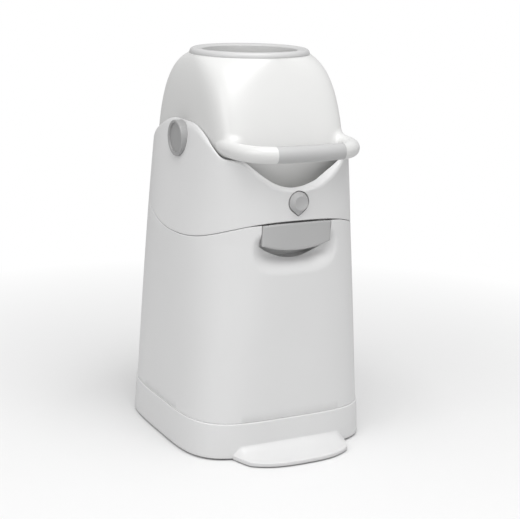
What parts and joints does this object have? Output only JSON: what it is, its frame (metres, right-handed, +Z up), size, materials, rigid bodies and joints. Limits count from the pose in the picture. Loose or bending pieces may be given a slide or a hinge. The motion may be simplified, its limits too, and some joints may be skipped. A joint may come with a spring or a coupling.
{
  "type": "nappy bin",
  "caption": "Tapered nappy bin with a flip-over drum, a swing handle, a push button, a latched head and a foot plate.",
  "frame": {"origin": "on the floor, at the middle of the anti-slip ring's underside, under the drum's pivot axis", "axes": "+Z up, -Y towards the front with the button, latch and foot plate, X along the drum's pivot axis"},
  "size_m": [0.3064, 0.4023, 0.6035],
  "materials": {
    "white_shell": "satin",
    "drum_white": "satin",
    "inner_white": "matt",
    "grey_plastic": "satin",
    "dark_grey_plastic": "satin",
    "soft_grip": "matt",
    "soft_ring": "matt",
    "steel": "brushed"
  },
  "bodies": {
    "bin": {"base": "white_shell", "anti_slip_ring": "soft_ring", "base_screws": "steel", "bin_body": "white_shell", "hinge_pin": "steel"},
    "head": {"head_shell": "white_shell", "cradle": "inner_white", "cradle_screws": "steel", "lid_gasket": "soft_ring", "left_bush": "grey_plastic", "right_bush": "grey_plastic", "left_hub_cap": "dark_grey_plastic", "right_hub_cap": "dark_grey_plastic", "latch_pin": "steel", "latch_spring": "steel", "button_spring": "steel"},
    "latch": {"latch_lever": "grey_plastic"},
    "button": {"button": "grey_plastic", "button_clip": "steel"},
    "drum": {"upper_drum_shell": "drum_white", "lower_drum_shell": "drum_white", "drum_tube": "inner_white", "upper_rim_ring": "grey_plastic", "lower_rim_ring": "grey_plastic", "handle_grip": "soft_grip", "drum_screws": "steel", "left_pivot_pin": "steel", "right_pivot_pin": "steel", "pin_screws": "steel"},
    "piston": {"piston": "inner_white", "piston_seal": "soft_ring"}
  },
  "joints": [
    {"name": "head_open", "type": "hinge", "parent": "bin", "child": "head", "pos_m": [0, 0.1795, 0.3655], "axis": [-1, 0, 0], "range_deg": [0, 95]},
    {"name": "drum_flip", "type": "hinge", "parent": "head", "child": "drum", "pos_m": [0, 0, 0.47], "axis": [-1, 0, 0], "range_deg": [0, 180]},
    {"name": "piston_slide", "type": "slide", "parent": "drum", "child": "piston", "axis": [0, 0, 1], "range_m": [0, 0.2054]},
    {"name": "button_press", "type": "slide", "parent": "head", "child": "button", "axis": [0, 1, 0], "range_m": [0, 0.0045], "stiffness_N_per_m": 400, "springref_m": -0.002, "deforming": ["button_spring"]},
    {"name": "latch_swing", "type": "hinge", "parent": "head", "child": "latch", "pos_m": [0, -0.155, 0.367], "axis": [-1, 0, 0], "range_deg": [0, 10.8], "deforming": ["latch_spring"]}
  ],
  "couplings": [
    {"joint": "latch_swing", "follows": "button_press", "rad_per_m": 41.5}
  ]
}
